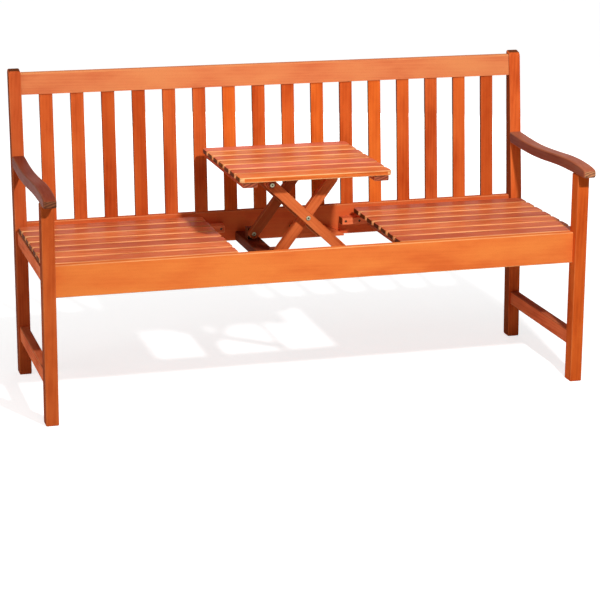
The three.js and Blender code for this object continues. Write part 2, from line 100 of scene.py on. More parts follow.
def add_node(tree, kind, inputs=(), **settings):
    """Adds a shader node, with its settings, and fills or links the inputs that are named."""
    made = tree.nodes.new("ShaderNode" + kind)
    for key, value in settings.items():
        setattr(made, key, value)
    for socket, value in inputs:
        if isinstance(value, bpy.types.NodeSocket):
            tree.links.new(value, made.inputs[socket])
        else:
            made.inputs[socket].default_value = value
    return made


def seen_directly(tree):
    """One for rays of the camera and for what gloss or glass shows of the studio, else zero."""
    ray = add_node(tree, "LightPath")
    either = add_node(tree, "Math", [
        (0, ray.outputs["Is Camera Ray"]), (1, ray.outputs["Is Glossy Ray"]),
    ], operation="MAXIMUM")
    return add_node(tree, "Math", [
        (0, either.outputs[0]), (1, ray.outputs["Is Transmission Ray"]),
    ], operation="MAXIMUM").outputs[0]


scene = bpy.context.scene
scene.view_settings.view_transform = "Standard"

bpy.ops.object.select_all(action="DESELECT")
bpy.ops.mesh.primitive_plane_add(size=FLOOR_SIZE)
floor = bpy.context.object
floor.name = "studio_floor"
floor_finish, floor_tree, floor_shader = new_finish("studio_floor")
floor_shader.inputs["Base Color"].default_value = FLOOR_COLOUR
floor_shader.inputs["Roughness"].default_value = FLOOR_ROUGHNESS
floor_shader.inputs["Specular IOR Level"].default_value = FLOOR_GLOSS
floor_place = add_node(floor_tree, "TexCoord")
floor_reach = add_node(floor_tree, "VectorMath", [(0, floor_place.outputs["Object"])], operation="LENGTH")
floor_fade = add_node(floor_tree, "MapRange", [
    ("Value", floor_reach.outputs["Value"]), ("From Min", FLOOR_GLOW_FROM), ("From Max", FLOOR_GLOW_TO),
    ("To Min", FLOOR_GLOW_NEAR), ("To Max", FLOOR_GLOW_FAR),
], interpolation_type="SMOOTHSTEP")
floor_white = add_node(floor_tree, "Math", [
    (0, seen_directly(floor_tree)), (1, floor_fade.outputs["Result"]),
], operation="MULTIPLY")
floor_glow = add_node(floor_tree, "Emission", [("Color", WHITE), ("Strength", floor_white.outputs[0])])
floor_both = add_node(floor_tree, "AddShader", [
    (0, floor_shader.outputs["BSDF"]), (1, floor_glow.outputs["Emission"]),
])
floor_tree.links.new(floor_both.outputs["Shader"], floor_tree.nodes["Material Output"].inputs["Surface"])
floor.data.materials.append(floor_finish)
floor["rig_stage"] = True

sky = bpy.data.worlds.new("studio_sky")
scene.world = sky
sky.use_nodes = True
sky_tree = sky.node_tree
sky_light = sky_tree.nodes["Background"]
sky_light.inputs["Color"].default_value = WHITE
sky_light.inputs["Strength"].default_value = SKY_FILL
sky_seen = add_node(sky_tree, "Background", [("Color", WHITE)])
sky_mix = add_node(sky_tree, "MixShader", [
    ("Fac", seen_directly(sky_tree)),
    (1, sky_light.outputs["Background"]), (2, sky_seen.outputs["Background"]),
])
sky_tree.links.new(sky_mix.outputs["Shader"], sky_tree.nodes["World Output"].inputs["Surface"])

for name, (place, power, width) in LAMPS.items():
    bpy.ops.object.light_add(type="AREA", location=place)
    lamp = bpy.context.object
    lamp.name = name
    lamp.rotation_euler = (place - LIT_POINT).to_track_quat("Z", "Y").to_euler()
    lamp.data.shape = "DISK"
    lamp.data.size = width
    lamp.data.energy = power
    lamp.visible_camera = False
    # The lamp behind would lay a whitish sheen on seat and table.
    lamp.visible_glossy = name != "back_lamp"

bpy.ops.object.camera_add(location=EYE)
camera = bpy.context.object
camera.name = "studio_camera"
swung = Matrix.Rotation(EYE_YAW, 4, "Z")
tilted = Matrix.Rotation(EYE_TILT, 4, "X")
rolled = Matrix.Rotation(EYE_ROLL, 4, "Z")
camera.rotation_euler = (swung @ tilted @ rolled).to_euler()
camera.data.sensor_width = SENSOR_WIDTH
camera.data.lens = LENS
camera.data.shift_y = LENS_SHIFT
camera.data.clip_end = SIGHT_END
scene.camera = camera


# Front legs: plain hardwood posts that carry the armrests' front ends. Each is planed from one
# length, its long arrises are eased, and its ends are chamfered so that the foot doesn't splinter.
LEG_ARRIS = 0.0025
LEG_END = 0.002
LEG_TONES = {"left": (0.54, 0.098, 0.020), "right": (0.58, 0.094, 0.014)}
# The legs' narrow sides carry painted shading: darker on the left leg, lighter on the right, for how the
# lamps fall on them.
LEG_SIDE_PAINTED_SHADING = {"left": 0.72, "right": 1.15}
SAWN_BREAK = 0.0006
ARRIS_STEPS = 3
UP = Vector((0.0, 0.0, 1.0))
RIGHT = Vector((1.0, 0.0, 0.0))
BACK = Vector((0.0, 1.0, 0.0))
# Arrises and narrow faces are painted towards this pale yellow: partly wood where the oil wears off, partly a
# painted highlight where they catch the lamps.
PALE_WEAR_AND_HIGHLIGHT = Vector((0.86, 0.42, 0.17))
END_GLOSS = 0.03
# The scale of growth lines, and of clouds and pores, along the grain, for a scale of one across it.
LINES_ALONG = 0.035
CLOUDS_ALONG = 0.3
# From one seed to the next, a board's grain and its rings are taken from this much farther on.
GRAIN_STEP = (3.17, 0.371, 0.713)
RING_STEP = (1.3, 0.29, 0.53)
# Red, green and blue in a board's dark and light lines: the share of its tone without contrast,
# and what full contrast adds to that share.
DARK_LINES = ((1.0, -0.24), (0.86, -0.26), (0.9, -0.36))
LIGHT_LINES = ((1.0, 0.12), (1.12, 0.18), (1.06, 0.28))
# What is left of a board's tone in its pores, and in the dark and light rings of a sawn end.
PORE_SHADE = (0.5, 0.4, 0.4)
RING_DARK = (0.10, 0.13, 0.12)
RING_LIGHT = (0.34, 0.42, 0.30)
# The mixer has its colour sockets under these numbers.
MIX_COLOUR_A, MIX_COLOUR_B, MIXED_COLOUR = 6, 7, 2
# The finishes of a board, in the order in which it holds them.
FACE, ARRIS, END, EDGE = range(4)
# How squarely a face has to look along the grain, or across it, to take one of these.
END_FACING = 0.88
EDGE_FACING = 0.985
ARRIS_FACING = 0.16
# Faces that meet at fewer degrees than this are shaded as one round.
SMOOTH_BELOW = 38.0
# An edge or a face lies along a direction from this cosine on, and places this close are one.
ALIGNED = 0.9
SAME_PLACE = 0.000001


def shaded(tone, red=1.0, green=1.0, blue=1.0):
    """A tone with each of its parts taken to a share of itself."""
    return (tone[0] * red, tone[1] * green, tone[2] * blue, 1.0)


def noise(tree, place, scale, detail, roughness=0.5):
    """Noise without a direction of its own, finer as its scale grows."""
    return add_node(tree, "TexNoise", [
        ("Vector", place), ("Scale", scale), ("Detail", detail), ("Roughness", roughness),
    ]).outputs["Fac"]


def blend(tree, first, second, share):
    """Two patterns in one, with the given share of the second."""
    return add_node(tree, "Mix", [("Factor", share), ("A", first), ("B", second)]).outputs["Result"]


def ranged(tree, value, at_low, at_high, low=0.0, high=1.0):
    """Carries a value over from its own range, low to high, to another."""
    return add_node(tree, "MapRange", [
        ("Value", value), ("From Min", low), ("From Max", high), ("To Min", at_low), ("To Max", at_high),
    ]).outputs["Result"]


def toned(tree, value, *stops):
    """Colours laid out over a value, each at its own place."""
    ramp = add_node(tree, "ValToRGB", [("Fac", value)])
    elements = ramp.color_ramp.elements
    elements[0].position, elements[0].color = stops[0]
    elements[1].position, elements[1].color = stops[-1]
    for position, colour in stops[1:-1]:
        elements.new(position).color = colour
    return ramp.outputs["Color"]


def lay_on(tree, shader, colour, roughness, height, strength, distance):
    """Gives the shader its colour and roughness, and a relief as deep as the distance."""
    relief = add_node(tree, "Bump", [("Height", height), ("Strength", strength), ("Distance", distance)])
    tree.links.new(colour, shader.inputs["Base Color"])
    tree.links.new(roughness, shader.inputs["Roughness"])
    tree.links.new(relief.outputs["Normal"], shader.inputs["Normal"])


def wood_grain(name, tone, direction, seed, clouded=0.84, contrast=1.0, roughness=0.62, gloss=0.015):
    """Oiled hardwood: soft clouds of tone, faint growth lines and pores along the grain."""
    finish, tree, shader = new_finish(name)
    place = add_node(tree, "TexCoord")
    turned_to_x = direction.normalized().rotation_difference(RIGHT).to_euler()
    lined_up = add_node(tree, "Mapping", [("Vector", place.outputs["Object"]), ("Rotation", turned_to_x)])
    shift = [seed * step for step in GRAIN_STEP]
    long_drawn, drawn = [
        add_node(tree, "Mapping", [
            ("Vector", lined_up.outputs["Vector"]), ("Location", shift), ("Scale", (along, 1.0, 1.0)),
        ]).outputs["Vector"]
        for along in (LINES_ALONG, CLOUDS_ALONG)
    ]
    growth = add_node(tree, "TexWave", [
        ("Vector", long_drawn), ("Scale", 60.0), ("Distortion", 9.0), ("Detail", 3.0),
        ("Detail Scale", 0.5), ("Detail Roughness", 0.6),
    ], wave_type="BANDS", bands_direction="DIAGONAL")
    streaks = noise(tree, long_drawn, scale=260.0, detail=5.0, roughness=0.6)
    clouds = noise(tree, drawn, scale=22.0, detail=3.0, roughness=0.55)
    drift = noise(tree, drawn, scale=9.0, detail=1.0)
    pores = noise(tree, drawn, scale=1300.0, detail=2.0)
    lines = blend(tree, growth.outputs["Fac"], streaks, share=0.7)
    soft = blend(tree, clouds, drift, share=0.4)
    figure = blend(tree, lines, soft, share=clouded)
    dark = shaded(tone, *[share + more * contrast for share, more in DARK_LINES])
    light = shaded(tone, *[share + more * contrast for share, more in LIGHT_LINES])
    wood = toned(tree, figure, (0.38, dark), (0.5, shaded(tone)), (0.62, light))
    in_pores = ranged(tree, pores, low=0.58, high=0.72, at_low=0.0, at_high=0.3)
    pored = add_node(tree, "Mix", [
        ("Factor", in_pores), (MIX_COLOUR_A, wood), (MIX_COLOUR_B, shaded(tone, *PORE_SHADE)),
    ], data_type="RGBA")
    satin = ranged(tree, figure, low=0.35, high=0.65, at_low=roughness + 0.06, at_high=roughness - 0.05)
    relief = blend(tree, streaks, pores, share=0.5)
    lay_on(tree, shader, pored.outputs[MIXED_COLOUR], satin, relief, strength=0.2, distance=0.0004)
    shader.inputs["Specular IOR Level"].default_value = gloss
    return finish


def end_grain(name, tone, direction, seed):
    """Sawn end: growth rings cut across, open pores that drink the oil and turn dark."""
    finish, tree, shader = new_finish(name)
    place = add_node(tree, "TexCoord")
    turned_to_x = direction.normalized().rotation_difference(RIGHT).to_euler()
    lined_up = add_node(tree, "Mapping", [
        ("Vector", place.outputs["Object"]), ("Rotation", turned_to_x),
        ("Location", [seed * step for step in RING_STEP]), ("Scale", (0.2, 1.0, 0.55)),
    ])
    rings = add_node(tree, "TexWave", [
        ("Vector", lined_up.outputs["Vector"]), ("Scale", 150.0), ("Distortion", 3.0), ("Detail", 2.0),
        ("Detail Scale", 0.5),
    ], wave_type="BANDS", bands_direction="DIAGONAL")
    speckle = noise(tree, lined_up.outputs["Vector"], scale=900.0, detail=3.0, roughness=0.6)
    figure = blend(tree, rings.outputs["Fac"], speckle, share=0.6)
    wood = toned(tree, figure, (0.25, shaded(tone, *RING_DARK)), (0.75, shaded(tone, *RING_LIGHT)))
    dull = ranged(tree, speckle, at_low=0.72, at_high=0.5)
    lay_on(tree, shader, wood, dull, speckle, strength=0.4, distance=0.0005)
    shader.inputs["Specular IOR Level"].default_value = END_GLOSS
    return finish


def oiled(name, tone, direction, seed, arris_wear_and_highlight, edge_pale_and_highlight=0.0, edge_painted_shading=1.0, **look):
    """Finishes of one board: planed faces, arrises paler by wear and painted highlight, dark sawn ends,
    narrow edges with painted shading.
    """
    arris_worn_and_highlit = tuple(Vector(tone).lerp(PALE_WEAR_AND_HIGHLIGHT, arris_wear_and_highlight))
    # The narrow edges' tone is scaled to paint light and shade on those sides, for how the lamps fall on
    # them.
    edge = tuple(Vector(tone).lerp(PALE_WEAR_AND_HIGHLIGHT, edge_pale_and_highlight) * edge_painted_shading)
    return [
        wood_grain(name, tone, direction, seed, **look),
        wood_grain(name + "_arris", arris_worn_and_highlit, direction, seed, **look),
        end_grain(name + "_end", tone, direction, seed),
        wood_grain(name + "_edge", edge, direction, seed + 1, **look),
    ]


def lay_finishes(piece, finishes, along, across, end_facing=END_FACING):
    """Gives each face its finish by where it looks: along the grain, across it or in between."""
    piece.data.materials.clear()
    for finish in finishes:
        piece.data.materials.append(finish)
    for face in piece.data.polygons:
        aside = abs(face.normal.dot(across))
        if abs(face.normal.dot(along)) > end_facing:
            face.material_index = END
        elif aside >= EDGE_FACING:
            face.material_index = EDGE
        else:
            face.material_index = ARRIS if aside > ARRIS_FACING else FACE


def select_only(*pieces):
    """Selects these pieces and nothing else, and makes the first one active."""
    bpy.ops.object.select_all(action="DESELECT")
    for piece in pieces:
        piece.select_set(True)
    bpy.context.view_layer.objects.active = pieces[0]


def smooth_arrises(piece, below=SMOOTH_BELOW):
    """Rounds the look of the eased arrises while the planed faces stay flat."""
    select_only(piece)
    bpy.ops.object.shade_smooth_by_angle(angle=math.radians(below))
    bpy.ops.object.modifier_add(type="WEIGHTED_NORMAL")
    piece.modifiers[-1].keep_sharp = True
    bpy.ops.object.modifier_apply(modifier=piece.modifiers[-1].name)


def sawn(name, low, high):
    """A block sawn square between its lowest and its highest corner."""
    bpy.ops.object.select_all(action="DESELECT")
    bpy.ops.mesh.primitive_cube_add(size=1.0, location=(low + high) / 2, scale=high - low)
    piece = bpy.context.object
    piece.name = name
    bpy.ops.object.transform_apply(location=True, rotation=True, scale=True)
    return piece


def follows(edge, direction):
    """Whether an edge runs along a direction."""
    first, last = [vert.co for vert in edge.verts]
    return abs((first - last).normalized().dot(direction)) > ALIGNED


def round_edges(piece, wanted, width, steps):
    """Bevels the edges that the test accepts, round where there are several steps."""
    bpy.ops.object.mode_set(mode="EDIT")
    bpy.ops.mesh.select_mode(type="EDGE")
    bpy.ops.mesh.select_all(action="DESELECT")
    mesh = bmesh.from_edit_mesh(piece.data)
    for edge in mesh.edges:
        edge.select_set(wanted(edge))
    bmesh.update_edit_mesh(piece.data)
    bpy.ops.mesh.bevel(offset=width, segments=steps, affect="EDGES")
    bpy.ops.object.mode_set(mode="OBJECT")


def planed(name, low, high, along, arris, end_break=SAWN_BREAK, end_steps=1):
    """A board planed square, its long arrises rounded and its sawn ends broken or rounded."""
    piece = sawn(name, low, high)
    ends = (low.dot(along), high.dot(along))

    def on_end(edge):
        places = [vert.co.dot(along) for vert in edge.verts]
        return any(all(abs(place - end) < SAME_PLACE for place in places) for end in ends)

    round_edges(piece, lambda edge: follows(edge, along), arris, ARRIS_STEPS)
    round_edges(piece, on_end, end_break, end_steps)
    return piece


def fit_in(piece, body, *nodes, slot="oiled_hardwood"):
    """The piece rides on its body in the place of the solids that it stands for."""
    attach(piece, body)
    if nodes:
        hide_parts(*nodes)


for number, side in enumerate(("left", "right")):
    node = f"front_leg_{side}"
    low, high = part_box(node)
    leg = planed(f"leg_front_{side}", low, high, UP, LEG_ARRIS, LEG_END)
    leg_finishes = oiled(
        f"leg_wood_{side}", LEG_TONES[side], UP, seed=3 + number, arris_wear_and_highlight=0.08, edge_painted_shading=LEG_SIDE_PAINTED_SHADING[side],
    )
    lay_finishes(leg, leg_finishes, UP, RIGHT)
    smooth_arrises(leg)
    fit_in(leg, "frame", node)


# Rear posts: sawn from a wide hardwood plank with a bend above the seat, so that the back leans.
# They taper to a thin rounded top, whose open end grain has drunk the oil and gone dark.
POST_GRAIN = Vector((0.0, 0.07, 1.0)).normalized()
POST_TONES = {"left": (0.54, 0.092, 0.022), "right": (0.72, 0.128, 0.026)}
POST_END_FACING = 0.72
# Corners this close are merged, and faces within this many degrees of one plane become one face.
MERGE_WITHIN = 0.00001
FLAT_WITHIN = 0.3


def copied(node, name):
    """A copy of a solid's own shape, with its loose triangles merged into clean faces."""
    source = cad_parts[node]
    piece = source.copy()
    piece.data = source.data.copy()
    piece.name = name
    bpy.context.collection.objects.link(piece)
    for mark in [key for key in piece.keys() if key.startswith("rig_")]:
        del piece[mark]
    piece.parent = None
    piece.hide_render = False
    piece.hide_viewport = False
    select_only(piece)
    bpy.ops.object.mode_set(mode="EDIT")
    bpy.ops.mesh.select_all(action="SELECT")
    bpy.ops.mesh.remove_doubles(threshold=MERGE_WITHIN)
    bpy.ops.mesh.customdata_custom_splitnormals_clear()
    bpy.ops.mesh.dissolve_limited(angle_limit=math.radians(FLAT_WITHIN))
    bpy.ops.object.mode_set(mode="OBJECT")
    return piece


for number, side in enumerate(("left", "right")):
    node = f"rear_post_{side}"
    post = copied(node, f"post_rear_{side}")
    # The posts' narrow sides are painted darker: painted shade.
    post_finishes = oiled(
        f"post_wood_{side}", POST_TONES[side], POST_GRAIN, seed=7 + number, arris_wear_and_highlight=0.08, edge_painted_shading=0.5,
    )
    lay_finishes(post, post_finishes, UP, RIGHT, POST_END_FACING)
    smooth_arrises(post)
    fit_in(post, "frame", node)


# Side rails under the seat's outer ends and stretchers near the floor: short hardwood bars tenoned
# into leg and post, their rear ends cut to the post's lean.
BAR_TONE = (0.50, 0.105, 0.036)
# The bars' narrow sides are painted much lighter: painted light on the sides that the key lamp misses.
bar_finishes = oiled("side_bar_wood", BAR_TONE, BACK, seed=11, arris_wear_and_highlight=0.1, edge_painted_shading=1.75)
for side in ("left", "right"):
    for kind in ("side_rail", "stretcher"):
        bar = copied(f"{kind}_{side}", f"{kind}_{side}_bar")
        lay_finishes(bar, bar_finishes, BACK, RIGHT)
        smooth_arrises(bar)
        fit_in(bar, "frame", f"{kind}_{side}")


# Apron and rear seat rail: two long hardwood boards on edge, tenoned into the legs and the posts.
# The apron is the palest and most golden board of the bench.
LONG_RAIL_ARRIS = 0.0025
APRON_TONE = (0.76, 0.18, 0.038)
REAR_RAIL_TONE = (0.68, 0.124, 0.033)
# The boards' arrises are painted paler, partly wear and partly a painted highlight.
for node, tone, seed, arris_wear_and_highlight in (("apron", APRON_TONE, 14, 0.5), ("rear_seat_rail", REAR_RAIL_TONE, 16, 0.3)):
    low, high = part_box(node)
    board = planed(f"{node}_board", low, high, RIGHT, LONG_RAIL_ARRIS)
    board_finishes = oiled(f"{node}_wood", tone, RIGHT, seed=seed, arris_wear_and_highlight=arris_wear_and_highlight, clouded=0.9, contrast=0.45)
    lay_finishes(board, board_finishes, RIGHT, BACK)
    smooth_arrises(board)
    fit_in(board, "frame", node)


# Back: a hardwood top rail with a rounded upper edge, and sixteen thin upright slats mortised into
# it and into the rear seat rail. The slats come from different boards, so their tones differ.
TOP_RAIL_TONE = (0.70, 0.208, 0.075)
SLAT_TONES = ((0.61, 0.106, 0.022), (0.52, 0.078, 0.014), (0.72, 0.132, 0.019), (0.63, 0.106, 0.019))
# Which of the tones each slat has, from the left.
SLAT_ORDER = (0, 0, 1, 1, 0, 0, 2, 3, 3, 2, 3, 2, 3, 0, 3, 1)
SLAT_LEAN = Vector((0.0, 0.0966, 1.0)).normalized()
top_rail = copied("top_rail", "back_top_rail")
top_rail_finishes = oiled("top_rail_wood", TOP_RAIL_TONE, RIGHT, seed=19, arris_wear_and_highlight=0.1, contrast=0.4)
lay_finishes(top_rail, top_rail_finishes, RIGHT, BACK)
smooth_arrises(top_rail)
fit_in(top_rail, "frame", "top_rail")
# The slats' narrow sides are painted dark: painted shade.
slat_finishes = [
    oiled(f"back_slat_wood_{i + 1}", tone, SLAT_LEAN, seed=23 + 2 * i, arris_wear_and_highlight=0.05, edge_painted_shading=0.3)
    for i, tone in enumerate(SLAT_TONES)
]
for i, tone_number in enumerate(SLAT_ORDER):
    slat = copied(f"back_slat_{i + 1}", f"back_upright_{i + 1}")
    lay_finishes(slat, slat_finishes[tone_number], SLAT_LEAN, RIGHT)
    smooth_arrises(slat)
    fit_in(slat, "frame", f"back_slat_{i + 1}")


# Armrests: waved boards of a darker, browner wood, sawn from thick stock and sanded round. Each
# sits flat on its front leg, butts against the rear post, and ends in a blunt rounded nose.
ARM_TONES = {"left": (0.225, 0.040, 0.018), "right": (0.39, 0.102, 0.050)}
# The armrests' narrow sides carry painted shading: lighter on the left arm, darker on the right.
ARM_SIDE_PAINTED_SHADING = {"left": 1.1, "right": 0.75}
ARM_GLOSS = {"left": 0.015, "right": 0.028}
ARM_END_FACING = 0.97
ARM_SMOOTH_BELOW = 45.0
# A sawn end shows less than half of its tone, so these may be brighter than white.
NOSE_TONES = {"left": (0.72, 0.19, 0.11), "right": (1.70, 0.56, 0.34)}
NOSE_FACING = 0.8
for number, side in enumerate(("left", "right")):
    arm = copied(f"armrest_{side}", f"arm_{side}")
    arm_finishes = oiled(
        f"armrest_wood_{side}", ARM_TONES[side], BACK, seed=31 + 2 * number, arris_wear_and_highlight=0.06,
        edge_painted_shading=ARM_SIDE_PAINTED_SHADING[side], contrast=0.8, roughness=0.42, gloss=ARM_GLOSS[side],
    )
    nose = len(arm_finishes)
    arm_finishes.append(end_grain(f"armrest_nose_{side}", NOSE_TONES[side], BACK, seed=36 + number))
    lay_finishes(arm, arm_finishes, BACK, RIGHT, ARM_END_FACING)
    for face in arm.data.polygons:
        if face.center.y < 0.0 and -face.normal.y > NOSE_FACING:
            face.material_index = nose
    smooth_arrises(arm, ARM_SMOOTH_BELOW)
    fit_in(arm, "frame", f"armrest_{side}")


# Seat: on each side of the opening seven hardwood slats lie from side rail to mid rail, held from
# below. Their arrises and front and back faces are painted pale, partly as wear and partly as a
# painted highlight, and their cut ends are dark.
SEAT_SLATS = 7
SEAT_SLAT_THICKNESS = 0.014
SEAT_SLAT_ARRIS = 0.0024
SLAT_CORNER = 0.0095
CORNER_STEPS = 4
MID_RAIL_HALF = 0.017
MID_RAIL_CENTRE = 0.285
SEAT_TONES = ((0.68, 0.142, 0.046), (0.58, 0.112, 0.042), (0.77, 0.172, 0.050))
MID_RAIL_TONE = (0.46, 0.09, 0.03)
# Seat slats: arrises and front and back faces painted pale, partly wear and partly painted highlight.
seat_finishes = [
    oiled(
        f"seat_slat_wood_{i + 1}", tone, RIGHT, seed=35 + 2 * i, arris_wear_and_highlight=0.6, edge_pale_and_highlight=0.9, clouded=0.5,
        contrast=1.3, roughness=0.4, gloss=0.022,
    )
    for i, tone in enumerate(SEAT_TONES)
]
mid_rail_finishes = oiled("mid_rail_wood", MID_RAIL_TONE, BACK, seed=43, arris_wear_and_highlight=0.1)


def rounded_slat(name, low, high, corner, arris):
    """A slat whose four corners are rounded in plan before all its other edges are eased."""
    slat = sawn(name, low, high)
    round_edges(slat, lambda edge: follows(edge, UP), corner, CORNER_STEPS)
    round_edges(slat, lambda edge: not follows(edge, UP), arris, ARRIS_STEPS)
    return slat


for side, sign in (("left", -1.0), ("right", 1.0)):
    node = f"seat_panel_{side}"
    low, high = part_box(node)
    slat_bottom = high.z - SEAT_SLAT_THICKNESS
    for i in range(SEAT_SLATS):
        # Each slat is in line with the table's slat of the same number.
        front, back = [corner.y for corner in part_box(f"table_slat_{i + 1}")]
        slat = rounded_slat(
            f"seat_slat_{side}_{i + 1}",
            Vector((low.x, front, slat_bottom)), Vector((high.x, back, high.z)),
            SLAT_CORNER, SEAT_SLAT_ARRIS,
        )
        tone_number = (2 * i + (side == "right")) % len(seat_finishes)
        lay_finishes(slat, seat_finishes[tone_number], RIGHT, BACK)
        smooth_arrises(slat)
        fit_in(slat, "frame", node)
    centre = sign * MID_RAIL_CENTRE
    rail = planed(
        f"mid_rail_{side}",
        Vector((centre - MID_RAIL_HALF, low.y, low.z)), Vector((centre + MID_RAIL_HALF, high.y, slat_bottom)),
        BACK, SEAT_SLAT_ARRIS,
    )
    lay_finishes(rail, mid_rail_finishes, BACK, RIGHT)
    smooth_arrises(rail)
    fit_in(rail, "frame", node)


# Bearers: hardwood pieces screwed inside the opening. A flat board under the inner legs' feet has
# two lugs for their bolts, the rod slides on the runners, and the ledge blocks carry the lowered
# table. The ledge blocks' plated screws sit at the bottom of counterbored holes.
BEARER_TONE = (0.72, 0.15, 0.045)
# The ledge blocks are painted lighter than the runners: painted light on their lit front.
LEDGE_LIT_TONE = (0.86, 0.21, 0.080)
# The foot board is painted far darker than the other bearers: painted shade under the table.
FOOT_BOARD_SHADED_TONE = (0.19, 0.040, 0.016)
BEARER_ARRIS = 0.0025
FOOT_BOARD_LEFT = -0.1195
FOOT_BOARD_RIGHT = -0.0705
FOOT_BOARD_BOTTOM = 0.3415
FOOT_BOARD_TOP = 0.3680
LUG_HALF = 0.014
LUG_DEPTH = 0.025
LEDGE_END = 0.00225
LEDGE_END_STEPS = 3
# Holes are given by their radius, and the drill starts this far over the surface.
LUG_HOLE = 0.0033
SCREW_HOLE = 0.0036
SCREW_DEPTH = 0.005
SCREW_INSETS = (0.011, 0.052)
DRILL_OVER = 0.002
DRILL_SIDES = 24
# The small screws are painted near black: painted shade at the bottom of their holes.
SCREW_SHADED_TONE = (0.10, 0.09, 0.06)
SCREW_ROUGHNESS = 0.5
SCREW_RADIUS = 0.0033
SCREW_HEAD = 0.0012
SCREW_SIDES = 16
# The middle of a screw's head stands this far above the bottom of its hole.
SCREW_RISE = 0.0007
# The widths of the two rings round a screw's recess, as shares of its radius, and the recess's
# depth, as a share of the head's thickness.
SCREW_RINGS = (0.18, 0.42)
RECESS_SHARE = 0.7
# What is left of the steel's tone in its dark patches.
PLATE_DARK = (0.7, 0.74, 0.6)
runner_finishes = oiled("bearer_wood_long", BEARER_TONE, RIGHT, seed=47, arris_wear_and_highlight=0.1)
ledge_lit_finishes = oiled("ledge_wood_lit", LEDGE_LIT_TONE, RIGHT, seed=48, arris_wear_and_highlight=0.1)
foot_board_shaded_finishes = oiled("pivot_bearer_wood_shaded", FOOT_BOARD_SHADED_TONE, BACK, seed=49, arris_wear_and_highlight=0.05)


def plated_steel(name, tone, roughness):
    """Zinc plate with a thin yellow passivation, uneven in tone, and fine turning marks."""
    finish, tree, shader = new_finish(name)
    place = add_node(tree, "TexCoord").outputs["Object"]
    patches = noise(tree, place, scale=260.0, detail=3.0, roughness=0.6)
    marks = noise(tree, place, scale=2400.0, detail=1.0)
    plate = toned(tree, patches, (0.3, shaded(tone, *PLATE_DARK)), (0.7, shaded(tone)))
    worn = ranged(tree, patches, at_low=roughness + 0.12, at_high=roughness - 0.08)
    lay_on(tree, shader, plate, worn, marks, strength=0.15, distance=0.0001)
    shader.inputs["Metallic"].default_value = 1.0
    return finish


def bore(piece, mouth, inward, radius, depth, sides=DRILL_SIDES):
    """Drills a flat-bottomed hole from the mouth inwards."""
    bpy.ops.object.select_all(action="DESELECT")
    bpy.ops.mesh.primitive_cylinder_add(
        vertices=sides, radius=radius, depth=depth + DRILL_OVER,
        location=mouth + inward * (depth - DRILL_OVER) / 2,
        rotation=UP.rotation_difference(inward).to_euler(),
    )
    drill = bpy.context.object
    select_only(piece)
    bpy.ops.object.modifier_add(type="BOOLEAN")
    hole = piece.modifiers[-1]
    hole.operation = "DIFFERENCE"
    hole.solver = "EXACT"
    hole.object = drill
    bpy.ops.object.modifier_apply(modifier=hole.name)
    bpy.data.objects.remove(drill)


def screw_head(name, radius, thickness):
    """A screw's flat head at the origin, facing up, with a round recess for the driver."""
    bpy.ops.object.select_all(action="DESELECT")
    bpy.ops.mesh.primitive_cylinder_add(vertices=SCREW_SIDES, radius=radius, depth=thickness)
    head = bpy.context.object
    head.name = name
    bpy.ops.object.mode_set(mode="EDIT")
    bpy.ops.mesh.select_mode(type="FACE")
    bpy.ops.mesh.select_all(action="DESELECT")
    mesh = bmesh.from_edit_mesh(head.data)
    for face in mesh.faces:
        face.select_set(face.normal.z > ALIGNED)
    bmesh.update_edit_mesh(head.data)
    for ring in SCREW_RINGS:
        bpy.ops.mesh.inset(thickness=radius * ring)
    sunk = (0.0, 0.0, -thickness * RECESS_SHARE)
    bpy.ops.mesh.extrude_region_move(TRANSFORM_OT_translate={"value": sunk})
    bpy.ops.object.mode_set(mode="OBJECT")
    return head


def set_screws(name, pattern, places, facing, body):
    """Copies of one screw head, each turned to face outwards, joined as one piece of fastenings."""
    heads = []
    for place in places:
        head = pattern.copy()
        head.data = pattern.data.copy()
        bpy.context.collection.objects.link(head)
        head.location = place
        head.rotation_euler = UP.rotation_difference(facing).to_euler()
        heads.append(head)
    select_only(*heads)
    bpy.ops.object.transform_apply(location=True, rotation=True, scale=True)
    bpy.ops.object.join()
    joined = bpy.context.object
    joined.name = name
    fit_in(joined, body, slot="zinc_plated_steel")


def axis_of(node):
    """Where the axis of a bolt or of the rod, which runs from front to back, meets y = 0."""
    low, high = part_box(node)
    return Vector(((low.x + high.x) / 2, 0.0, (low.z + high.z) / 2))


small_screw = screw_head("screw_pattern", SCREW_RADIUS, SCREW_HEAD)
small_screw.data.materials.append(plated_steel("screw_steel_shaded", SCREW_SHADED_TONE, SCREW_ROUGHNESS))

low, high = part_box("pivot_rail")
foot_board = planed(
    "foot_board",
    Vector((FOOT_BOARD_LEFT, low.y, FOOT_BOARD_BOTTOM)), Vector((FOOT_BOARD_RIGHT, high.y, FOOT_BOARD_TOP)),
    BACK, BEARER_ARRIS,
)
lay_finishes(foot_board, foot_board_shaded_finishes, BACK, RIGHT)
smooth_arrises(foot_board)
fit_in(foot_board, "frame", "pivot_rail")
for end in ("front", "rear"):
    pivot = axis_of(f"foot_bolt_{end}")
    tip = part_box(f"foot_bolt_{end}")[1].y
    lug = planed(
        f"foot_lug_{end}",
        Vector((pivot.x - LUG_HALF, tip - LUG_DEPTH, FOOT_BOARD_TOP)),
        Vector((pivot.x + LUG_HALF, tip, pivot.z + LUG_HALF)),
        UP, BEARER_ARRIS,
    )
    bore(lug, pivot + BACK * (tip - LUG_DEPTH), BACK, LUG_HOLE, LUG_DEPTH + DRILL_OVER)
    lay_finishes(lug, foot_board_shaded_finishes, BACK, RIGHT)
    smooth_arrises(lug)
    fit_in(lug, "frame", "pivot_rail")
